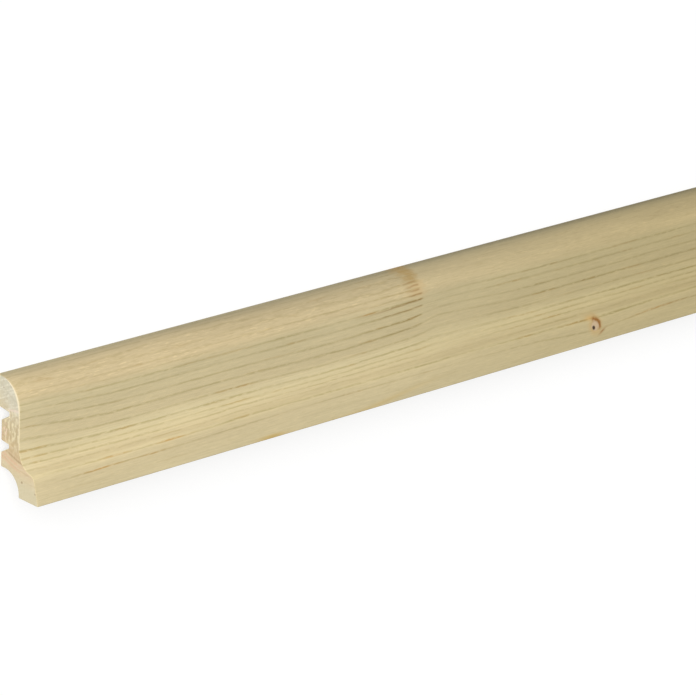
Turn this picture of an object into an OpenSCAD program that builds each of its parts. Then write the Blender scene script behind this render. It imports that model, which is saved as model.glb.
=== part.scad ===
// Softwood skirting board with a rounded top, a flared foot, two clip grooves and a cable cove.
// It lies on its back: X runs along the board, +Y points to its rounded top, and the front looks up +Z.
// The origin is the middle of the rectangle that the board covers on the ground.

/* [Board] */
// Length of the board
board_length = 2400; // [300:50:5000]
// Height of the board, from the floor of the room to the top of the round
board_height = 40; // [36:0.5:70]
// Depth of the foot, from the wall to its front edge at the floor
board_depth = 22; // [20:0.5:30]
// Depth of the upper part, from the wall to the flat front face
body_depth = 12; // [10:0.5:15]
// Radius of the small rounding on every long arris
arris_radius = 0.4; // [0.1:0.1:0.8]

/* [Front] */
// Radius of the quarter round along the top
top_radius = 9.5; // [3:0.5:12]
// Height of the foot at its nose
foot_height = 9.5; // [7:0.5:12]
// Lean of the foot's front face, in degrees from upright
foot_lean = 16; // [0:1:20]
// Fall of the foot's upper side towards the nose, in degrees
foot_fall = 15; // [5:1:25]
// Radius of the foot's nose
nose_radius = 3; // [0.5:0.5:3.5]
// Radius of the cove between the front face and the foot
cove_radius = 7; // [2:0.5:7]

/* [Back] */
// Gap between the wall and the lower back, where the clips have their plates
clip_gap = 2.4; // [0.6:0.2:3]
// Height of the lower clip groove's roof, at its mouth
groove_height = 17.5; // [16:0.5:19]
// Distance from one clip groove to the next
groove_pitch = 11.3; // [8:0.1:13]
// Number of clip grooves
groove_count = 2; // [1:1:2]
// Height of a clip groove at its mouth
groove_mouth = 4.2; // [3.5:0.1:5]
// Height of a clip groove at its inner end
groove_end = 1.3; // [1.1:0.1:2]
// Depth of a clip groove, from the lower back
groove_depth = 4; // [3:0.5:6]
// Fall of a clip groove's roof towards its inner end, in degrees
groove_roof_fall = 7; // [0:0.5:10]
// Radius in the inner corners of a clip groove
groove_radius = 0.5; // [0.2:0.1:0.5]

/* [Cable cove] */
// Depth of the sole, from the foot's front edge to the cable cove
sole_depth = 10.1; // [8:0.1:12]
// Height of the cable cove's roof above the floor of the room
cable_height = 8.2; // [6:0.1:10]
// Radius of the cable cove
cable_radius = 7.6; // [3:0.1:9]

/* [Hidden] */
$fn = 96;
// How far an arc reaches over the lines that it touches
crossing = 0.0005;
// How much wider than its rounding a wedge is
wedge_spread = 1.1;

// The section is drawn as [height above the floor of the room, distance from the wall].
// A corner adds the radius of its rounding as a third number.
function place(corner) = [corner[0], corner[1]];
function toward(from, to) = (to - from) / norm(to - from);
function turn(from, at, to) = cross(at - from, to - at);
function half_angle(from, at, to) = acos(toward(at, from) * toward(at, to)) / 2;
function setback(from, at, to, radius) = radius / tan(half_angle(from, at, to));
function start_point(from, at, to, radius) = at + toward(at, from) * setback(from, at, to, radius);
function end_point(from, at, to, radius) = at + toward(at, to) * setback(from, at, to, radius);
function centre(from, at, to, radius) =
    at + toward([0, 0], toward(at, from) + toward(at, to)) * radius / sin(half_angle(from, at, to));

// The corners before and after a corner of a closed outline
function before(corners, i) = place(corners[(i + len(corners) - 1) % len(corners)]);
function after(corners, i) = place(corners[(i + 1) % len(corners)]);

// The slice of a circle that rounds one corner. It crosses the lines beside it by a hair, and its wedge
// opens a little past the points where they touch, so that no sliver is left there.
module rounding(from, at, to, radius) {
    middle = centre(from, at, to, radius);
    wide = wedge_spread * radius;
    rim = [start_point(from, at, to, wide), at, end_point(from, at, to, wide)];
    translate(middle)
        intersection() {
            circle(radius + crossing);
            polygon([[0, 0], for (point = rim) 2 * (point - middle)]);
        }
}

// The slices of the outward corners, or of the inward ones, of an outline that runs anticlockwise
module roundings(corners, outward) {
    for (i = [0 : len(corners) - 1])
        if ((turn(before(corners, i), place(corners[i]), after(corners, i)) > 0) == outward)
            rounding(before(corners, i), place(corners[i]), after(corners, i), corners[i][2]);
}

// A closed outline whose corners are all true arcs, tangent to the lines on both sides
module rounded_outline(corners) {
    difference() {
        polygon([for (i = [0 : len(corners) - 1])
            let (from = before(corners, i), at = place(corners[i]), to = after(corners, i))
            each [start_point(from, at, to, corners[i][2]), end_point(from, at, to, corners[i][2])]]);
        roundings(corners, false);
    }
    roundings(corners, true);
}

// The foot's front, if it ran down to the floor as a sharp edge, so that its rounded edge keeps the full depth
foot_tip = board_depth + arris_radius * (tan(foot_lean) + 1 / cos(foot_lean) - 1);
// Depth of the front at the nose, where the leaning front and the falling upper side meet
nose_depth = foot_tip - foot_height * tan(foot_lean);
// Height at which the foot's upper side would meet the front face
cove_height = foot_height + (nose_depth - body_depth) * tan(foot_fall);
// Distance of the foot's two roundings from each other, along its upper side
upper_side = (nose_depth - body_depth) / cos(foot_fall);
nose_setback = nose_radius / tan((90 + foot_lean + foot_fall) / 2);
cove_setback_max = upper_side - nose_setback;
cove_arc = min(cove_radius, cove_setback_max * tan((90 + foot_fall) / 2));
// Roundings that the walls beside them limit
top_arc = min(top_radius, body_depth - 2 * arris_radius);
cable_arc = min(cable_radius, cable_height - 1.2 * arris_radius);
// Distance from the wall to the upright side of the cable cove
sole_back = board_depth - sole_depth;

// Corners of one clip groove, from its roof to its floor; the roof of the top groove runs out to the wall
function groove_corners(roof, roof_depth) = [
    [roof + (clip_gap - roof_depth) * tan(groove_roof_fall), roof_depth, arris_radius],
    [roof - groove_depth * tan(groove_roof_fall), clip_gap + groove_depth, groove_radius],
    [roof - groove_depth * tan(groove_roof_fall) - groove_end, clip_gap + groove_depth, groove_radius],
    [roof - groove_mouth, clip_gap, arris_radius]];

front_corners = [
    [0, sole_back, arris_radius],
    [cable_height, sole_back, cable_arc],
    [cable_height, clip_gap, arris_radius]];
back_corners = [for (i = [0 : groove_count - 1])
    let (corners = groove_corners(groove_height + i * groove_pitch, i == groove_count - 1 ? 0 : clip_gap))
    for (k = [3 : -1 : 0]) corners[k]];
top_corners = [
    [board_height, 0, arris_radius],
    [board_height, body_depth, top_arc],
    [cove_height, body_depth, cove_arc],
    [foot_height, nose_depth, nose_radius],
    [0, foot_tip, arris_radius]];

module skirting_board() {
    color([0.84, 0.78, 0.60])
        translate([-board_length / 2, -board_height / 2, 0])
            rotate([90, 0, 90])
                linear_extrude(board_length)
                    rounded_outline(concat(front_corners, back_corners, top_corners));
}

skirting_board();
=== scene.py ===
# A length of softwood skirting board that lies on its back on a pale floor, with its moulded front up
import math

import bpy
import numpy as np
from mathutils import Matrix, Vector
from mathutils.geometry import delaunay_2d_cdt


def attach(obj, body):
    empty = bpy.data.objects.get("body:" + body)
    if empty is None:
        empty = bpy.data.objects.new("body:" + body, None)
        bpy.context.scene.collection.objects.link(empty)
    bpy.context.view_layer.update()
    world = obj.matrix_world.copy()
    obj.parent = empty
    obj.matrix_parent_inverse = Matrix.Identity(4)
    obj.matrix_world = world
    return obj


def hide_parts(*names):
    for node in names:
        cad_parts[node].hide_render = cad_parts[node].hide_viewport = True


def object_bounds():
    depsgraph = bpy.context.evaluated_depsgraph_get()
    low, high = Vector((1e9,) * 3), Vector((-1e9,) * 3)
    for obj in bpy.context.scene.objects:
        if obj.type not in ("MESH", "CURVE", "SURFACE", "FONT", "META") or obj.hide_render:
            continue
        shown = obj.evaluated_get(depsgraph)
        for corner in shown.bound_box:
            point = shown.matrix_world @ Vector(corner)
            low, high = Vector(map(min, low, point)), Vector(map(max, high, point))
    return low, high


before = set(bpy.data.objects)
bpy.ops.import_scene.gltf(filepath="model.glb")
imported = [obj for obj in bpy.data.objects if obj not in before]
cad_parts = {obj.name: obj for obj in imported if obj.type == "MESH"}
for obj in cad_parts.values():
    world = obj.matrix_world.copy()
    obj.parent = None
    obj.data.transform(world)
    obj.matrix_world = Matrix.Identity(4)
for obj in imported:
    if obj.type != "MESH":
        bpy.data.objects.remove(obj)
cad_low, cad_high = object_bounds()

MM = 0.001
NODE = "skirting_board"
PIECE = "skirting_board_finished"
LENGTH = cad_high.x - cad_low.x
BOARD_HEIGHT = cad_high.y - cad_low.y
BOARD_DEPTH = cad_high.z - cad_low.z

# Sizes of the section, the same as the solid's
BODY_DEPTH = 12.0 * MM
ARRIS_RADIUS = 0.4 * MM
TOP_RADIUS = 9.5 * MM
FOOT_HEIGHT = 9.5 * MM
FOOT_LEAN = math.radians(16.0)
FOOT_FALL = math.radians(15.0)
NOSE_RADIUS = 3.0 * MM
COVE_RADIUS = 7.0 * MM
CLIP_GAP = 2.4 * MM
GROOVE_HEIGHT = 17.5 * MM
GROOVE_PITCH = 11.3 * MM
GROOVE_COUNT = 2
GROOVE_MOUTH = 4.2 * MM
GROOVE_END = 1.3 * MM
GROOVE_DEPTH = 4.0 * MM
GROOVE_ROOF_FALL = math.radians(7.0)
GROOVE_RADIUS = 0.5 * MM
SOLE_DEPTH = 10.1 * MM
CABLE_HEIGHT = 8.2 * MM
CABLE_RADIUS = 7.6 * MM

# Steps of the mesh: the turn along an arc, the width of a flat strip and the length of a row
ARC_STEP = math.radians(7.0)
FLAT_STEP = 2.5 * MM
ROW_PITCH = 12.0 * MM
# How far the edges of the sawn ends are eased, and in how many steps
END_EASE = 0.22 * MM
EASE_STEPS = 3
# Distance of the points inside a sawn end, and the share of it by which the first row keeps off the rim
END_CELL = 0.36 * MM
ROW_SHIFT = 0.35
# Points of a sawn end that lie closer than this are one, and only the triangles inside the rim are kept
SAME_POINT = 1e-7
KEEP_INSIDE = 1
# The least that a squared length counts for where it divides
LEAST_SQUARE = 1e-18

# The tree that the board was cut from: its centre lies above the rounded top. All wood sizes below are
# in millimetres: along the board from its left end, up from the room's floor, and out from the wall.
PITH_HEIGHT = 52.0
PITH_DEPTH = 18.0
# Distance of each growth line from the centre of the tree, how strongly it shows, and half of its width
RINGS = (
    (9.0, 0.3, 0.5), (11.5, 0.3, 0.5), (13.8, 0.3, 0.5), (15.7, 0.25, 0.3), (17.2, 0.4, 0.13),
    (18.4, 0.5, 0.25), (20.0, 0.3, 0.4), (21.9, 0.65, 0.55), (24.7, 0.65, 0.55), (28.1, 0.65, 0.55),
    (31.5, 0.85, 0.6), (35.1, 0.6, 0.55), (37.9, 0.9, 0.45), (39.5, 0.6, 0.33), (40.7, 0.62, 0.27),
    (41.7, 0.42, 0.19), (42.9, 1.0, 0.36), (45.6, 0.5, 0.42), (49.0, 0.12, 0.6), (52.5, 0.1, 0.6),
    (56.0, 0.1, 0.6),
)
RING_END = 60.0
# The growth lines are drawn in two spans of that distance
RING_SPANS = ((8.0, 38.9), (38.9, RING_END))
# Where a hidden knot lifts the growth lines: along, up, reach to the left and right, reach across, lift
BENDS = (
    (-4.0, 24.0, 26.0, 26.0, 9.0, 3.4),
    (142.0, 20.0, 26.0, 22.0, 9.0, -0.9),
    (125.0, 5.0, 48.0, 70.0, 5.0, 1.1),
    (189.0, 22.5, 9.0, 26.0, 8.0, 2.1),
    (261.0, 5.0, 22.0, 26.0, 2.8, -1.9),
)
# Stretches of growth line stained with resin: along, up, reach along the line and strength
RESIN = (
    (1.0, 15.2, 5.0, 1.0), (44.5, 14.2, 4.0, 0.5), (35.0, 8.9, 6.0, 1.0), (60.0, 9.1, 8.0, 0.9),
    (28.0, 6.5, 8.0, 1.0), (50.0, 6.2, 6.0, 0.8), (154.0, 30.6, 5.0, 0.9), (250.0, 9.0, 7.0, 0.5),
    (175.5, 25.0, 2.2, 0.5), (98.0, 17.6, 4.0, 0.5), (292.0, 6.2, 16.0, 0.9),
)
# Short dark lines beside the big knot by the top: their right end, height, length and strength
STROKES = (
    (179.4, 37.3, 8.0, 0.5), (180.2, 36.1, 9.0, 0.7), (180.0, 34.7, 8.0, 0.7), (180.8, 33.3, 9.0, 0.7),
    (180.2, 31.1, 34.0, 0.65), (180.8, 28.7, 27.0, 0.45), (263.5, 21.2, 3.5, 0.5),
)
# Branches that grew out through the board: place along it, angle from straight down towards the wall in
# degrees, reach across, and how far they lean along the board for each millimetre outward
BRANCHES = (
    (742.0, 12.5, 1.7, 0.25),
    (1316.0, 37.0, 3.6, -0.2),
    (1694.0, 20.0, 2.2, 0.3),
    (2092.0, 3.0, 1.6, -0.2),
)
# The small round knot on the foot: along, up, and its reach along and across
PIN_KNOT = (260.9, 6.2, 2.4, 2.4)
# Where the big knot by the top ends, and where the wood past the known stretch begins
BIG_KNOT_EDGE = (179.5, 181.5)
FREE_WOOD = 330.0
# Small dark specks on the sawn ends: up, out and reach
END_SPECKS = ((6.0, 13.5, 0.4), (4.0, 20.4, 0.3), (36.2, 3.4, 0.2))
# Dark growth line and pink lines on the lower neck of a sawn end, by their distance from the centre
NECK_RING = 40.5
PINK_RINGS = (41.9, 43.3)

# The view: how the board is turned away, the height of the eye and its tilt, in degrees
VIEW_TURN = 43.488
VIEW_HEIGHT = 20.375
VIEW_ROLL = -2.569
PICTURE = 696
FOCAL_PIXELS = 4255.1
SENSOR = 36.0
# The foot's near bottom corner in the picture, in pixels, and how far it lies along the view, in metres
CORNER_PIXEL = (37.83, 507.66)
CORNER_DISTANCE = 1.3843

# Light of the studio: the even part, and the part that comes from beside the camera
EVEN_LIGHT = 0.36
KEY_LIGHT = 0.93
KEY_SPREAD = math.radians(40.0)
# The floor: how far it reaches, its grey where it lights the board, how white the camera sees it, and
# the share of that white which the board's shadow can darken
FLOOR_REACH = 30.0
FLOOR_GREY = 0.8
FLOOR_WHITE = 1.02
FLOOR_SHADE = 0.35
# Finish of the wood: roughness of the planed faces and of the sawn ends, and how strongly both reflect
LONG_ROUGHNESS = 0.76
END_ROUGHNESS = 0.85
WOOD_SPECULAR = 0.2
# Fine relief of the planed faces and of the sawn ends: its strength and its depth
LONG_RELIEF = (0.5, 0.04 * MM)
END_RELIEF = (0.6, 0.09 * MM)
# Numbers of the colour sockets on the node that mixes two colours
MIX_FIRST = 6
MIX_SECOND = 7
MIX_RESULT = 2


def srgb(red, green, blue):
    """A colour given in 0 to 255 as on a screen, in the shader's linear numbers."""
    shares = (c / 255 for c in (red, green, blue))
    return (*(c / 12.92 if c <= 0.04045 else ((c + 0.055) / 1.055) ** 2.4 for c in shares), 1.0)


def grey(level):
    """A grey in the shader's linear numbers."""
    return (level, level, level, 1.0)


# Colours of the wood. Those in shares of 1 darken what lies under them, and the others cover it.
LATE_WOOD = (0.67, 0.66, 0.52, 1.0)
RESIN_WOOD = (0.8, 0.6, 0.37, 1.0)
FLECK_PALE = srgb(228, 207, 160)
FLECK_DARK = (0.72, 0.68, 0.55, 1.0)
# Painted shade: the wood darker and yellower further from the left end, where the light falls off
PAINTED_FALLOFF_TINT = (0.98, 0.96, 0.87, 1.0)
# Painted shade on the back of the rounded top, where it turns away from the light
PAINTED_TOP_SHADE = (0.8, 0.83, 0.86, 1.0)
STROKE_WOOD = (0.62, 0.5, 0.36, 1.0)
BIG_KNOT = srgb(166, 136, 80)
BIG_KNOT_GLOW = srgb(198, 164, 112)
ARRIS_STAIN = srgb(188, 160, 94)
KNOT_GLOW = srgb(202, 168, 112)
KNOT_HEART = srgb(140, 98, 56)
KNOT_FACE = srgb(176, 134, 84)
KNOT_EDGE = srgb(120, 84, 50)
PIN_GLOW = srgb(200, 160, 96)
PIN_FACE = srgb(196, 172, 144)
PIN_EDGE = srgb(142, 98, 48)
PIN_SPOT = srgb(66, 52, 40)
MEAN_WOOD = srgb(205, 191, 150)
END_LATE_WOOD = (0.7, 0.64, 0.54, 1.0)
NECK_LINE = srgb(138, 106, 70)
NECK_PINK = srgb(214, 168, 138)
TORN_PALE = srgb(228, 216, 178)
TORN_DARK = srgb(172, 148, 106)
TORN_ROSY = srgb(222, 188, 172)
LIP_PALE = srgb(230, 208, 194)
SAW_PALE = srgb(222, 216, 196)
FUZZ_DARK = srgb(176, 160, 128)
SPECK_DARK = srgb(134, 104, 74)
RIM_PALE = srgb(236, 222, 188)
# Ground colours from the centre of the tree outwards, on the long faces and on the sawn ends, at shares
# of RING_END
LONG_ZONES = (
    (0.25, srgb(207, 188, 147)),
    (0.32, srgb(205, 186, 145)),
    (0.37, srgb(201, 187, 147)),
    (0.56, srgb(203, 188, 149)),
    (0.62, srgb(212, 198, 158)),
    (0.66, srgb(212, 197, 155)),
    (0.695, srgb(219, 203, 162)),
    (0.71, srgb(216, 200, 157)),
    (0.73, srgb(206, 190, 149)),
    (0.76, srgb(204, 188, 148)),
    (1.0, srgb(203, 190, 150)),
)
END_ZONES = (
    (0.30, srgb(197, 192, 171)),
    (0.40, srgb(198, 191, 169)),
    (0.50, srgb(201, 188, 157)),
    (0.59, srgb(194, 178, 142)),
    (0.65, srgb(195, 173, 135)),
    (0.70, srgb(206, 184, 150)),
    (0.745, srgb(205, 189, 154)),
    (0.80, srgb(202, 191, 159)),
)


# The section, as (height above the room's floor, distance from the wall)

def groove_corners(roof, roof_depth):
    """Corners of one clip groove with their radii, from its roof to its floor."""
    inner = roof - GROOVE_DEPTH * math.tan(GROOVE_ROOF_FALL)
    bottom = CLIP_GAP + GROOVE_DEPTH
    return [
        (roof + (CLIP_GAP - roof_depth) * math.tan(GROOVE_ROOF_FALL), roof_depth, ARRIS_RADIUS),
        (inner, bottom, GROOVE_RADIUS),
        (inner - GROOVE_END, bottom, GROOVE_RADIUS),
        (roof - GROOVE_MOUTH, CLIP_GAP, ARRIS_RADIUS),
    ]


def section_corners():
    """Corners of the section with their radii, anticlockwise from the back of the sole."""
    slope = math.tan(FOOT_LEAN)
    foot_tip = BOARD_DEPTH + ARRIS_RADIUS * (slope + 1 / math.cos(FOOT_LEAN) - 1)
    nose_depth = foot_tip - FOOT_HEIGHT * slope
    cove_height = FOOT_HEIGHT + (nose_depth - BODY_DEPTH) * math.tan(FOOT_FALL)
    sole_back = BOARD_DEPTH - SOLE_DEPTH
    corners = [
        (0.0, sole_back, ARRIS_RADIUS),
        (CABLE_HEIGHT, sole_back, CABLE_RADIUS),
        (CABLE_HEIGHT, CLIP_GAP, ARRIS_RADIUS),
    ]
    for i in range(GROOVE_COUNT):
        roof_depth = 0.0 if i == GROOVE_COUNT - 1 else CLIP_GAP
        corners += reversed(groove_corners(GROOVE_HEIGHT + i * GROOVE_PITCH, roof_depth))
    corners += [
        (BOARD_HEIGHT, 0.0, ARRIS_RADIUS),
        (BOARD_HEIGHT, BODY_DEPTH, TOP_RADIUS),
        (cove_height, BODY_DEPTH, COVE_RADIUS),
        (FOOT_HEIGHT, nose_depth, NOSE_RADIUS),
        (0.0, foot_tip, ARRIS_RADIUS),
    ]
    return corners


def arc_points(before, corner, after, radius):
    """Points and outward normals of the arc that rounds one corner, tangent to the lines beside it."""
    back = (before - corner).normalized()
    ahead = (after - corner).normalized()
    half = back.angle(ahead) / 2
    middle = corner + (back + ahead).normalized() * (radius / math.sin(half))
    first = corner + back * (radius / math.tan(half)) - middle
    side = 1 if back.cross(ahead) < 0 else -1
    turn = (math.pi - 2 * half) * side
    steps = max(2, math.ceil(abs(turn) / ARC_STEP))
    points = []
    for k in range(steps + 1):
        arm = Matrix.Rotation(turn * k / steps, 2) @ first
        points.append((middle + arm, arm.normalized() * side))
    return points


def section_outline():
    """Points of the rounded section and their outward normals, with its flat stretches divided."""
    corners = section_corners()
    places = [Vector(c[:2]) for c in corners]
    arcs = []
    for i, corner in enumerate(corners):
        after = places[(i + 1) % len(places)]
        arcs.append(arc_points(places[i - 1], places[i], after, corner[2]))
    outline = []
    for i, arc in enumerate(arcs):
        outline += arc
        start, normal = arc[-1]
        end = arcs[(i + 1) % len(arcs)][0][0]
        pieces = math.ceil((end - start).length / FLAT_STEP)
        for k in range(1, pieces):
            outline.append((start.lerp(end, k / pieces), normal))
    return outline


# The board's mesh

def board_rows():
    """Each row's distance from the left end, and how far it is drawn in to ease that end's edges."""
    near = []
    for k in range(EASE_STEPS + 1):
        angle = math.pi / 2 * k / EASE_STEPS
        near.append((END_EASE * (1 - math.cos(angle)), END_EASE * (1 - math.sin(angle))))
    count = round(LENGTH / ROW_PITCH)
    middle = [(LENGTH * k / count, 0.0) for k in range(1, count)]
    far = [(LENGTH - place, inset) for place, inset in reversed(near)]
    return near + middle + far


def add_sides(points, faces, outline, rows):
    """The long faces, row by row."""
    count = len(outline)
    for place, inset in rows:
        for at, normal in outline:
            spot = at - normal * inset
            points.append((cad_low.x + place, cad_low.y + spot.x, cad_low.z + spot.y))
    for r in range(len(rows) - 1):
        for k in range(count):
            m = (k + 1) % count
            faces.append((r * count + k, r * count + m, (r + 1) * count + m, (r + 1) * count + k))


def lattice(rim):
    """Points spread evenly over the box round a rim, with none on the box's own sides."""
    low = [min(p[axis] for p in rim) for axis in (0, 1)]
    high = [max(p[axis] for p in rim) for axis in (0, 1)]
    counts = [int((high[axis] - low[axis]) / END_CELL) for axis in (0, 1)]
    return [Vector((low[0] + (i + 0.5) * END_CELL, low[1] + (j + ROW_SHIFT + 0.5 * (i % 2)) * END_CELL))
            for i in range(counts[0] + 1) for j in range(counts[1] + 1)]


def add_end(points, faces, outline, first, place, flipped):
    """One sawn end: small triangles inside the rim whose points start at number first."""
    rim = [at - normal * END_EASE for at, normal in outline]
    count = len(rim)
    edges = [(k, (k + 1) % count) for k in range(count)]
    spots, _, triangles, sources, _, _ = delaunay_2d_cdt(
        rim + lattice(rim), edges, [list(range(count))], KEEP_INSIDE, SAME_POINT)
    number = {}
    for k, source in enumerate(sources):
        on_rim = [s for s in source if s < count]
        if on_rim:
            number[k] = first + on_rim[0]
    for k in sorted({v for triangle in triangles for v in triangle} - set(number)):
        number[k] = len(points)
        points.append((cad_low.x + place, cad_low.y + spots[k].x, cad_low.z + spots[k].y))
    for triangle in triangles:
        face = [number[v] for v in triangle]
        faces.append(face[::-1] if flipped else face)


def distance_inside(points, rim):
    """Distance of flat points from the nearest side of a closed rim, in the rim's own units."""
    nearest = np.full(len(points), np.inf)
    for k, start in enumerate(rim):
        side = rim[(k + 1) % len(rim)] - start
        share = np.clip(((points - start) @ side) / max(side @ side, LEAST_SQUARE), 0, 1)
        gap = np.linalg.norm(points - start - share[:, None] * side, axis=1)
        nearest = np.minimum(nearest, gap)
    return nearest


def build_board():
    """The finished board as one closed mesh in place of the solid."""
    outline = section_outline()
    rows = board_rows()
    points, faces = [], []
    add_sides(points, faces, outline, rows)
    side_faces = len(faces)
    side_points = len(points)
    add_end(points, faces, outline, 0, 0.0, True)
    add_end(points, faces, outline, side_points - len(outline), LENGTH, False)
    mesh = bpy.data.meshes.new(PIECE)
    mesh.from_pydata(points, [], faces)
    mesh.materials.append(long_grain())
    mesh.materials.append(end_grain())
    on_end = np.arange(len(faces)) >= side_faces
    mesh.polygons.foreach_set("material_index", on_end.astype(np.int32))
    mesh.polygons.foreach_set("use_smooth", ~on_end)
    flat = np.array(points[side_points:])[:, 1:]
    rim = np.array([(cad_low.y + at.x, cad_low.z + at.y) for at, _ in outline])
    depth = np.zeros(len(points), np.float32)
    depth[side_points:] = distance_inside(flat, rim) / MM
    mesh.attributes.new("inside", "FLOAT", "POINT").data.foreach_set("value", depth)
    board = bpy.data.objects.new(PIECE, mesh)
    bpy.context.scene.collection.objects.link(board)
    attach(board, "root")
    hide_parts(NODE)
    return board


# Formulas in a shader

class Term:
    """A number in a shader tree. Adding or multiplying terms adds the nodes that work it out."""

    def __init__(self, tree, socket):
        self.tree = tree
        self.socket = socket

    def __add__(self, other):
        return calculate(self.tree, "ADD", self, other)

    def __sub__(self, other):
        return calculate(self.tree, "SUBTRACT", self, other)

    def __rsub__(self, other):
        return calculate(self.tree, "SUBTRACT", other, self)

    def __mul__(self, other):
        return calculate(self.tree, "MULTIPLY", self, other)

    def __truediv__(self, other):
        return calculate(self.tree, "DIVIDE", self, other)

    __radd__ = __add__
    __rmul__ = __mul__


def feed(tree, socket, value):
    """Joins a term to a socket, or writes a plain value there."""
    if isinstance(value, Term):
        tree.links.new(value.socket, socket)
    else:
        socket.default_value = value


def calculate(tree, operation, *values):
    """The result of one mathematical operation on terms and plain values."""
    node = tree.nodes.new("ShaderNodeMath")
    node.operation = operation
    for socket, value in zip(node.inputs, values):
        feed(tree, socket, value)
    return Term(tree, node.outputs[0])


def squared(term):
    """The term times itself."""
    return term * term


def root(term):
    """The square root of a term."""
    return calculate(term.tree, "SQRT", term)


def hill(term):
    """1 where the term is 0, falling smoothly to nothing by about 2 on both sides."""
    return calculate(term.tree, "EXPONENT", squared(term) * -1.0)


def rise(term, start, end):
    """0 up to start, 1 from end on, and smooth between them."""
    node = term.tree.nodes.new("ShaderNodeMapRange")
    node.interpolation_type = "SMOOTHSTEP"
    for socket, value in zip(node.inputs, (term, start, end, 0.0, 1.0)):
        feed(term.tree, socket, value)
    return Term(term.tree, node.outputs[0])


def noise(tree, along, up, out, detail):
    """Smooth noise of a point, from about -1 to 1."""
    point = tree.nodes.new("ShaderNodeCombineXYZ")
    for socket, value in zip(point.inputs, (along, up, out)):
        feed(tree, socket, value)
    node = tree.nodes.new("ShaderNodeTexNoise")
    node.normalize = False
    tree.links.new(point.outputs[0], node.inputs["Vector"])
    node.inputs["Scale"].default_value = 1.0
    node.inputs["Detail"].default_value = detail
    return Term(tree, node.outputs[0])


def curve(term, points):
    """The value of a line through points, each of them from 0 to 1 both ways."""
    node = term.tree.nodes.new("ShaderNodeFloatCurve")
    line = node.mapping.curves[0]
    while len(line.points) < len(points):
        line.points.new(0.5, 0.5)
    for spot, (x, y) in zip(line.points, points):
        spot.location = (x, y)
        spot.handle_type = "VECTOR"
    node.mapping.update()
    feed(term.tree, node.inputs["Value"], term)
    return Term(term.tree, node.outputs[0])


def ramp(term, stops):
    """A colour that changes with the term, which runs from 0 to 1."""
    node = term.tree.nodes.new("ShaderNodeValToRGB")
    elements = node.color_ramp.elements
    while len(elements) < len(stops):
        elements.new(0.5)
    for element, (place, colour) in zip(elements, stops):
        element.position = place
        element.color = colour
    feed(term.tree, node.inputs[0], term)
    return Term(term.tree, node.outputs[0])


def blend(tree, share, first, second, way="MIX"):
    """One colour over another, by a share from 0 to 1."""
    node = tree.nodes.new("ShaderNodeMix")
    node.data_type = "RGBA"
    node.blend_type = way
    node.clamp_factor = True
    feed(tree, node.inputs[0], share)
    feed(tree, node.inputs[MIX_FIRST], first)
    feed(tree, node.inputs[MIX_SECOND], second)
    return Term(tree, node.outputs[MIX_RESULT])


def board_point(tree):
    """A point's place in millimetres: along from the left end, up from the floor, out from the wall."""
    coordinates = tree.nodes.new("ShaderNodeTexCoord")
    parts = tree.nodes.new("ShaderNodeSeparateXYZ")
    tree.links.new(coordinates.outputs["Object"], parts.inputs[0])
    x, y, z = (Term(tree, socket) for socket in parts.outputs)
    return (x - cad_low.x) * (1 / MM), (y - cad_low.y) * (1 / MM), (z - cad_low.z) * (1 / MM)


# The wood

def one_bend(along, up, bend):
    """How far one hidden knot lifts the growth lines."""
    centre, height, left, right, across, lift = bend
    offset = along - centre
    after = calculate(along.tree, "MAXIMUM", offset, 0.0) / right
    before = calculate(along.tree, "MINIMUM", offset, 0.0) / left
    spread = squared(after + before) + squared((up - height) / across)
    return calculate(along.tree, "EXPONENT", spread * -1.0) * lift


def ring_radius(along, up, out):
    """Distance from the centre of the tree as the wood grew, with its sway and its hidden knots."""
    tree = along.tree
    radius = root(squared(up - PITH_HEIGHT) + squared(out - PITH_DEPTH))
    sway = noise(tree, along / 240.0, 1.3, 2.7, 2.0) * 2.2
    radius = radius + sway * rise(along, FREE_WOOD, 600.0)
    radius = radius + noise(tree, along / 45.0, up / 7.0, out / 7.0, 2.0) * 0.22
    radius = radius + noise(tree, along / 7.0, up / 2.0, out / 2.0, 2.0) * 0.12
    for bend in BENDS:
        radius = radius + one_bend(along, up, bend)
    return radius


def line_points(start, end):
    """One span of the growth lines: their strength by distance from the centre, as a curve's points."""
    points = [(start, 0.0)]
    for place, strength, reach in RINGS:
        if start < place < end:
            points += [(place - reach, 0.0), (place, strength), (place + reach, 0.0)]
    points.append((end, 0.0))
    return [((x - start) / (end - start), y) for x, y in points]


def ring_lines(radius):
    """How dark the late wood of the growth line at this distance from the centre is, from 0 to 1."""
    tree = radius.tree
    total = 0.0
    for start, end in RING_SPANS:
        share = calculate(tree, "MAXIMUM", (radius - start) / (end - start), 0.0)
        total = total + curve(calculate(tree, "MINIMUM", share, 1.0), line_points(start, end))
    return total


def beside_knot(along, up):
    """How much darker the growth lines are beside the big knot by the top, and how they fade past it."""
    side = rise(up, 19.0, 28.5)
    past = rise(along, *BIG_KNOT_EDGE)
    beside = rise(along, 148.0, 176.0) * (1.0 - past) * rise(up, 14.0, 28.0)
    blank = past * (1.0 - rise(along, 185.0, 190.0))
    quiet = hill((along - 200.0) / 17.0) * (1.0 - side * 0.5) * 0.75
    return beside, (1.0 - blank * side * 0.9) * (1.0 - quiet)


def strokes(along, up, out):
    """The short dark lines beside the big knot."""
    tree = along.tree
    wander = noise(tree, along / 5.0, up / 2.0, 1.1, 1.0) * 0.2
    total = 0.0
    for end, height, length, strength in STROKES:
        ahead = rise(along, end - length, end - length * 0.4) * (1.0 - rise(along, end - 1.2, end))
        rising = (along - end) * 0.04
        total = total + ahead * hill((up - height - rising + wander) / 0.28) * strength
    return calculate(tree, "MINIMUM", total * rise(out, 5.0, 7.0), 1.0)


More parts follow.
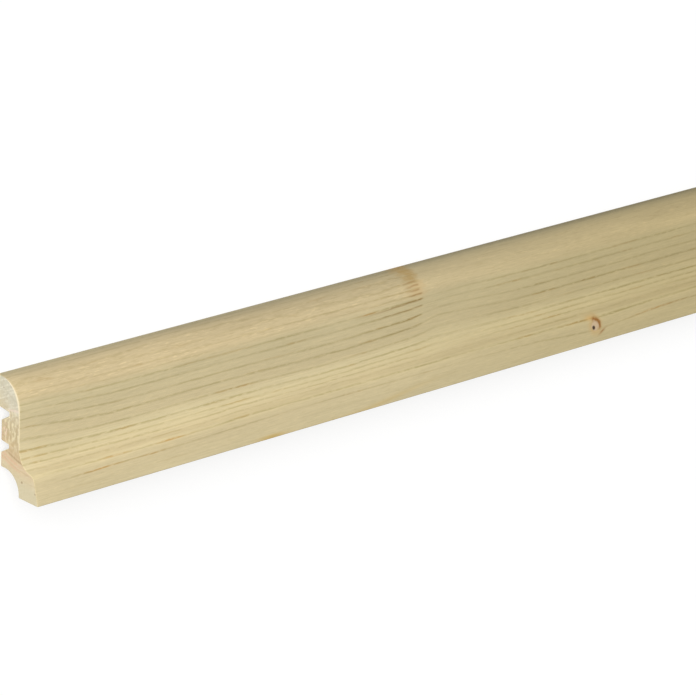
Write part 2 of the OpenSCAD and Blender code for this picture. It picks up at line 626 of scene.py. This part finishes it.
def resin(along, up):
    """Where the growth lines are stained orange by resin."""
    stain = noise(along.tree, along / 15.0, up / 2.0, 7.3, 1.0)
    total = rise(stain, 0.25, 0.6) * 0.4
    for centre, height, reach, strength in RESIN:
        total = total + hill((along - centre) / reach) * hill(up - height) * strength
    return calculate(along.tree, "MINIMUM", total, 1.0)


def growth_lines(along, up, radius):
    """The dark late wood at the outer edge of each ring, from 0 to 1, and its stain.

    The lines are patchy and broken, calm on the round past the big knot, and begin on the foot a little
    way in from the left end.
    """
    tree = along.tree
    beside, faded = beside_knot(along, up)
    patchy = noise(tree, along / 26.0, up / 2.6, 3.1, 3.0) * 0.75 + 0.95
    broken = 1.0 - rise(noise(tree, along / 2.6, up / 0.5, 8.1, 1.0), 0.05, 0.45) * 0.65
    calm = 1.0 - rise(along, 182.0, 190.0) * (1.0 - rise(radius, 20.3, 21.2)) * 0.75
    begun = 1.0 - (1.0 - rise(along, 5.0, 17.0)) * rise(radius, 42.2, 42.5) * 0.8
    stained = resin(along, up)
    line = ring_lines(radius) * (beside + 1.0) * (stained + 1.0) * faded * patchy * broken * calm * begun
    return line, calculate(tree, "MAXIMUM", stained, beside * 0.2)


def tone_and_painted_falloff(along, up, out):
    """Lighter and darker streaks and patches, and painted shade further from the left end, as a factor
    round 1.
    """
    tree = along.tree
    streak = noise(tree, along / 18.0, up / 0.4, out / 0.4, 3.0) * 0.062
    cloud = noise(tree, along / 45.0, up / 5.0, out / 5.0, 2.0) * 0.05
    # Painted shade: darker further from the left end, where the light falls off
    near = 1.0 - rise(along, 10.0, 370.0) * 0.24
    sway = noise(tree, along / 330.0, 1.7, 4.2, 1.0) * 0.06 + 0.12
    return (streak + cloud + 1.0) * (near + sway * rise(along, FREE_WOOD, 700.0))


def flecks(along, up, out, radius):
    """Short pale and dark dashes, most of them where the surface runs along a ring."""
    tree = along.tree
    skin = (1.0 - rise(radius, 18.5, 21.5)) * rise(out, 4.0, 8.0)
    skin = skin * (1.0 - rise(along, 180.0, 200.0) * 0.55)
    patch = rise(noise(tree, along / 14.0, up / 1.6, 6.1, 1.0), -0.3, 0.5)
    grain = noise(tree, along / 3.4, up / 0.42, out / 0.42, 1.0)
    pale = rise(grain, 0.22, 0.5) * (skin * patch * 0.7 + 0.3)
    dark = rise(grain * -1.0, 0.22, 0.52) * (skin * 0.2 + 0.3)
    return pale, dark


def zone_colour(tree, along, radius):
    """The ground colour of the wood from the heart outwards. Its zones differ less further along."""
    zones = ramp(radius / RING_END, LONG_ZONES)
    return blend(tree, rise(along, 60.0, 230.0) * 0.4, zones, MEAN_WOOD)


def tinted(tree, colour, factor):
    """A colour made lighter or darker by a factor."""
    node = tree.nodes.new("ShaderNodeVectorMath")
    node.operation = "SCALE"
    feed(tree, node.inputs[0], colour)
    feed(tree, node.inputs["Scale"], factor)
    return Term(tree, node.outputs[0])


def add_painted_top_shade(along, up, out, colour):
    """Painted shade on the back of the rounded top, which turns away from the light, growing darker
    further along.
    """
    tree = along.tree
    share = (1.0 - rise(out, 1.0, 8.0)) * rise(up, 36.5, 38.5)
    colour = blend(tree, share, colour, PAINTED_TOP_SHADE, "MULTIPLY")
    # Painted shade over the round and by the back arris, deeper further from the left end
    painted_round_shade = rise(along, 15.0, 105.0) * 0.13
    painted_arris_shade = rise(along, 60.0, 260.0) * (1.0 - rise(out, 1.0, 4.0)) * 0.2
    return tinted(tree, colour, 1.0 - (painted_round_shade + painted_arris_shade) * rise(up, 34.5, 38.8))


def add_big_knot(along, up, out, colour):
    """The soft brown patch of the knot by the top edge, with the stained wood under it."""
    tree = along.tree
    ragged = noise(tree, along / 3.0, up / 1.5, out / 1.5, 2.0) * 2.6
    left = along + ragged - rise(out, 3.0, 8.0) * 1.5
    right = along + ragged * 0.6 + rise(out, 5.0, 8.0) * 1.0
    across = rise(left, 170.0, 176.5) * (1.0 - rise(right, 179.0, 183.0))
    streak = noise(tree, along / 6.0, up / 0.35, out / 0.35, 1.0) * 0.25 + 0.75
    top = rise(up, 36.4, 38.0)
    under = rise(up, 30.5, 34.0) * (1.0 - top) * rise(left, 168.0, 178.0) * rise(out, 5.0, 7.0)
    under = under * (1.0 - rise(right, 181.0, 184.5))
    colour = blend(tree, under * 0.45 * streak, colour, BIG_KNOT_GLOW)
    return blend(tree, across * top * streak * 0.85, colour, BIG_KNOT)


def add_arris_stain(along, up, out, colour):
    """The yellow stain along the front arris of the sole."""
    first = hill((along - 102.0) / 6.0) * (1.0 - rise(up, 0.8, 1.9)) * 0.8
    climb = rise(along, 135.0, 190.0) * 4.4
    second = hill((along - 148.0) / 26.0) * hill((up - climb) / 0.8) * 0.38
    return blend(along.tree, (first + second) * rise(out, 18.0, 20.0), colour, ARRIS_STAIN)


def add_branches(along, up, out, colour):
    """Sound knots where branches pass out through the faces."""
    tree = along.tree
    for place, angle, reach, lean in BRANCHES:
        down, back = math.cos(math.radians(angle)), math.sin(math.radians(angle))
        outward = (PITH_HEIGHT - up) * down + (PITH_DEPTH - out) * back
        aside = (PITH_HEIGHT - up) * back - (PITH_DEPTH - out) * down
        wide = outward * 0.02 + reach * 0.6
        ragged = noise(tree, along / 1.7, up / 1.7, out / 1.7, 2.0) * 0.12
        near = root(squared(along - outward * lean - place) + squared(aside)) / wide + ragged
        colour = blend(tree, (1.0 - rise(near, 0.9, 2.6)) * 0.4, colour, KNOT_GLOW)
        inner = ramp(near, (
            (0.0, KNOT_HEART),
            (0.35, KNOT_FACE),
            (0.75, KNOT_FACE),
            (0.92, KNOT_EDGE),
        ))
        colour = blend(tree, (1.0 - rise(near, 0.85, 1.15)) * 0.75, colour, inner)
    return colour


def add_pin_knot(along, up, out, colour):
    """The small round knot on the foot: a pale face, a dark spot and a brown edge on its upper right."""
    tree = along.tree
    centre, height, long_reach, cross_reach = PIN_KNOT
    aside = along - centre
    above = up - height
    ragged = noise(tree, along / 1.2, up / 1.2, 0.5, 1.0) * 0.16
    near = root(squared(aside / long_reach) + squared(above / cross_reach)) + ragged
    front = rise(out, 15.0, 17.0)
    right = rise(aside * 0.75 + above * 0.65, -0.5, 1.5)
    past = aside - 3.2
    tail = hill(past / 1.8) * hill((above + 2.6 - past * 0.45) / 0.4)
    ear = hill((aside + 2.2) / 2.4) * hill((above - 2.9) / 0.7)
    colour = blend(tree, (1.0 - rise(near, 0.8, 2.0)) * 0.35 * front, colour, PIN_GLOW)
    colour = blend(tree, ear * 0.6 * front, colour, PIN_GLOW)
    colour = blend(tree, (1.0 - rise(near, 0.6, 0.95)) * 0.75 * front, colour, PIN_FACE)
    colour = blend(tree, hill((near - 0.95) / 0.3) * (right * 0.92 + 0.08) * front, colour, PIN_EDGE)
    colour = blend(tree, tail * 0.75 * front, colour, PIN_EDGE)
    spot = 1.0 - rise(root(squared(aside + 0.9) + squared(above + 0.7)), 0.45, 1.0)
    return blend(tree, spot * front, colour, PIN_SPOT)


def add_bump(tree, shader, height, relief):
    """A fine relief over the smooth faces."""
    strength, distance = relief
    bump = tree.nodes.new("ShaderNodeBump")
    bump.inputs["Strength"].default_value = strength
    bump.inputs["Distance"].default_value = distance
    feed(tree, bump.inputs["Height"], height)
    tree.links.new(bump.outputs[0], shader.inputs["Normal"])


def long_grain():
    """The planed faces along the board."""
    material = bpy.data.materials.new("softwood_long_grain")
    material.use_nodes = True
    tree = material.node_tree
    shader = tree.nodes["Principled BSDF"]
    along, up, out = board_point(tree)
    radius = ring_radius(along, up, out)
    line, stain = growth_lines(along, up, radius)
    pale, dark = flecks(along, up, out, radius)
    colour = zone_colour(tree, along, radius)
    colour = blend(tree, pale * 0.6, colour, FLECK_PALE)
    colour = blend(tree, dark * 0.5, colour, FLECK_DARK, "MULTIPLY")
    late = blend(tree, stain, LATE_WOOD, RESIN_WOOD)
    colour = blend(tree, calculate(tree, "MINIMUM", line, 1.0), colour, late, "MULTIPLY")
    colour = blend(tree, (line - 1.0) * 0.6, colour, STROKE_WOOD, "MULTIPLY")
    # Painted shade: darker and yellower from 120 to 340 mm along, where the light falls off
    colour = blend(tree, rise(along, 120.0, 340.0), colour, PAINTED_FALLOFF_TINT, "MULTIPLY")
    # Streaks and patches of the wood, with painted shade further from the left end
    colour = tinted(tree, colour, tone_and_painted_falloff(along, up, out))
    # Painted shade on the back of the rounded top
    colour = add_painted_top_shade(along, up, out, colour)
    colour = add_big_knot(along, up, out, colour)
    colour = blend(tree, strokes(along, up, out), colour, STROKE_WOOD, "MULTIPLY")
    colour = add_arris_stain(along, up, out, colour)
    colour = add_branches(along, up, out, colour)
    colour = add_pin_knot(along, up, out, colour)
    feed(tree, shader.inputs["Base Color"], colour)
    feed(tree, shader.inputs["Roughness"], LONG_ROUGHNESS - line * 0.1)
    shader.inputs["Specular IOR Level"].default_value = WOOD_SPECULAR
    fibre = noise(tree, along / 9.0, up / 0.16, out / 0.16, 3.0)
    add_bump(tree, shader, fibre + line * 0.6, LONG_RELIEF)
    return material


def add_end_rings(tree, out, radius, colour):
    """Faint growth lines, and one dark one across the lower neck with pink streaks under it."""
    colour = blend(tree, ring_lines(radius) * 0.3, colour, END_LATE_WOOD, "MULTIPLY")
    neck = rise(out, 4.0, 8.0)
    colour = blend(tree, hill((radius - NECK_RING) / 0.28) * neck * 0.45, colour, NECK_LINE)
    inner = 1.0 - rise(out, 10.0, 14.0)
    for place in PINK_RINGS:
        colour = blend(tree, hill((radius - place) / 0.4) * inner * 0.4, colour, NECK_PINK)
    return colour


def add_torn_wood(tree, up, out, colour):
    """Pale torn fibres and brown hollows by the clip grooves, a pale lip above them, and the relief."""
    zone = hill((up - 22.5) / 6.5) * (1.0 - rise(out, 11.2, 12.2)) * rise(out, 2.0, 5.0)
    torn = noise(tree, (up + out * 0.4) / 2.4, (out - up * 0.15) / 1.1, 5.0, 1.6)
    colour = blend(tree, rise(torn, 0.0, 0.45) * zone * 0.7, colour, TORN_PALE)
    colour = blend(tree, rise(torn * -1.0, 0.05, 0.5) * zone * 0.4, colour, TORN_DARK)
    lip = hill((up - 28.2 - out * 0.16) / 0.4) * rise(out, 5.4, 6.6)
    spots = noise(tree, up / 0.9, out / 0.9, 9.0, 1.0)
    rosy = hill((up - 21.5) / 2.6) * hill((out - 4.4) / 1.6) * rise(spots, -0.1, 0.35)
    colour = blend(tree, lip * 0.55, colour, LIP_PALE)
    return blend(tree, rosy * 0.6, colour, TORN_ROSY), torn * zone


def end_rim(tree, up, out):
    """The bright edge round the sawn end, widest on the rounded top, as a share from 0 to 1."""
    inside = tree.nodes.new("ShaderNodeAttribute")
    inside.attribute_name = "inside"
    depth = Term(tree, inside.outputs["Fac"])
    width = hill((up - 34.0) / 3.8) * rise(out, 4.0, 8.0) * 0.8 + 0.65
    share = 1.0 - rise(depth / width, 0.6, 1.0)
    return share * rise(out, 3.5, 7.0) * rise(up, 15.5, 19.0)


def end_grain():
    """The sawn ends, with the rough mark of the saw."""
    material = bpy.data.materials.new("softwood_end_grain")
    material.use_nodes = True
    tree = material.node_tree
    shader = tree.nodes["Principled BSDF"]
    along, up, out = board_point(tree)
    radius = ring_radius(along, up, out)
    which_end = along / 500.0
    saw = noise(tree, (up * 0.91 - out * 0.42) / 0.8, (out * 0.91 + up * 0.42) / 6.0, which_end, 1.5)
    fuzz = noise(tree, up / 1.4, out / 1.1, which_end + 2.0, 1.5)
    blotch = noise(tree, up / 5.0, out / 5.0, which_end + 4.0, 1.0)
    rough = rise(up, 12.0, 17.0)
    planed = rise(up, 26.0, 31.0)
    colour = ramp(radius / RING_END, END_ZONES)
    colour = blend(tree, rise(saw, 0.0, 0.45) * (planed * 0.4 + 0.1), colour, SAW_PALE)
    colour = blend(tree, rise(fuzz * -1.0, 0.05, 0.5) * (rough * 0.2 + 0.08), colour, FUZZ_DARK)
    colour = tinted(tree, colour, blotch * 0.04 + 1.0)
    colour = add_end_rings(tree, out, radius, colour)
    colour, torn = add_torn_wood(tree, up, out, colour)
    for height, depth, reach in END_SPECKS:
        place = root(squared(up - height) + squared(out - depth))
        share = (1.0 - rise(place, reach * 0.4, reach * 1.6)) * 0.6
        colour = blend(tree, share, colour, SPECK_DARK)
    colour = blend(tree, end_rim(tree, up, out) * 0.85, colour, RIM_PALE)
    feed(tree, shader.inputs["Base Color"], colour)
    shader.inputs["Roughness"].default_value = END_ROUGHNESS
    shader.inputs["Specular IOR Level"].default_value = WOOD_SPECULAR
    add_bump(tree, shader, saw * 0.5 + fuzz * 0.5 + torn, END_RELIEF)
    return material


# The stage

def build_camera():
    """The camera at the photograph's angle. Returns the direction in which it looks."""
    turn, height, roll = (math.radians(a) for a in (VIEW_TURN, VIEW_HEIGHT, VIEW_ROLL))
    forward = Vector((
        math.sin(turn) * math.cos(height),
        -math.sin(height),
        -math.cos(turn) * math.cos(height),
    ))
    level = Vector((math.cos(turn), 0.0, math.sin(turn)))
    drop = forward.cross(level)
    if drop.y > 0:
        drop = -drop
    right = level * math.cos(roll) + drop * math.sin(roll)
    down = drop * math.cos(roll) - level * math.sin(roll)
    corner = Vector((cad_low.x, cad_low.y, cad_high.z))
    across, below = ((p - PICTURE / 2) / FOCAL_PIXELS * CORNER_DISTANCE for p in CORNER_PIXEL)
    place = corner - right * across - down * below - forward * CORNER_DISTANCE
    data = bpy.data.cameras.new("camera")
    data.sensor_width = SENSOR
    data.lens = FOCAL_PIXELS / PICTURE * SENSOR
    camera = bpy.data.objects.new("camera", data)
    turned = Matrix((right, -down, -forward)).transposed().to_4x4()
    camera.matrix_world = Matrix.Translation(place) @ turned
    bpy.context.scene.collection.objects.link(camera)
    bpy.context.scene.camera = camera
    return forward


def seen_directly(tree):
    """1 for what the camera sees, also in a gloss or through glass, and 0 for light on the object."""
    path = tree.nodes.new("ShaderNodeLightPath")
    names = ("Is Camera Ray", "Is Glossy Ray", "Is Transmission Ray")
    camera, glossy, clear = (Term(tree, path.outputs[name]) for name in names)
    return calculate(tree, "MINIMUM", camera + glossy + clear, 1.0)


def floor_material():
    """White with a soft shadow for the camera, and plain grey for the light on the board."""
    material = bpy.data.materials.new("floor")
    material.use_nodes = True
    tree = material.node_tree
    tree.nodes.clear()
    plain = tree.nodes.new("ShaderNodeBsdfDiffuse")
    plain.inputs["Color"].default_value = grey(FLOOR_GREY)
    shaded = tree.nodes.new("ShaderNodeBsdfDiffuse")
    shaded.inputs["Color"].default_value = grey(FLOOR_SHADE)
    white = tree.nodes.new("ShaderNodeEmission")
    white.inputs["Strength"].default_value = FLOOR_WHITE - FLOOR_SHADE
    both = tree.nodes.new("ShaderNodeAddShader")
    tree.links.new(shaded.outputs[0], both.inputs[0])
    tree.links.new(white.outputs[0], both.inputs[1])
    choice = tree.nodes.new("ShaderNodeMixShader")
    feed(tree, choice.inputs[0], seen_directly(tree))
    tree.links.new(plain.outputs[0], choice.inputs[1])
    tree.links.new(both.outputs[0], choice.inputs[2])
    result = tree.nodes.new("ShaderNodeOutputMaterial")
    tree.links.new(choice.outputs[0], result.inputs[0])
    return material


def build_floor():
    """A wide floor on which the board lies."""
    reach = FLOOR_REACH
    mesh = bpy.data.meshes.new("floor")
    corners = [(-reach, -reach, 0.0), (reach, -reach, 0.0), (reach, reach, 0.0), (-reach, reach, 0.0)]
    mesh.from_pydata(corners, [], [(0, 1, 2, 3)])
    mesh.materials.append(floor_material())
    floor = bpy.data.objects.new("floor", mesh)
    floor.location.z = cad_low.z
    bpy.context.scene.collection.objects.link(floor)


def build_world():
    """White all round for the camera, and the even part of the light."""
    world = bpy.data.worlds.new("studio")
    bpy.context.scene.world = world
    world.use_nodes = True
    tree = world.node_tree
    background = tree.nodes["Background"]
    background.inputs["Color"].default_value = grey(1.0)
    seen = seen_directly(tree)
    feed(tree, background.inputs["Strength"], seen * (1.0 - EVEN_LIGHT) + EVEN_LIGHT)


def build_key(forward):
    """A wide soft lamp beside the camera."""
    data = bpy.data.lights.new("key", "SUN")
    data.energy = KEY_LIGHT * math.pi
    data.angle = KEY_SPREAD
    key = bpy.data.objects.new("key", data)
    key.rotation_mode = "QUATERNION"
    key.rotation_quaternion = forward.to_track_quat("-Z", "Y")
    bpy.context.scene.collection.objects.link(key)


forward = build_camera()
build_floor()
build_world()
build_key(forward)
build_board()
bpy.context.scene.view_settings.view_transform = "Standard"
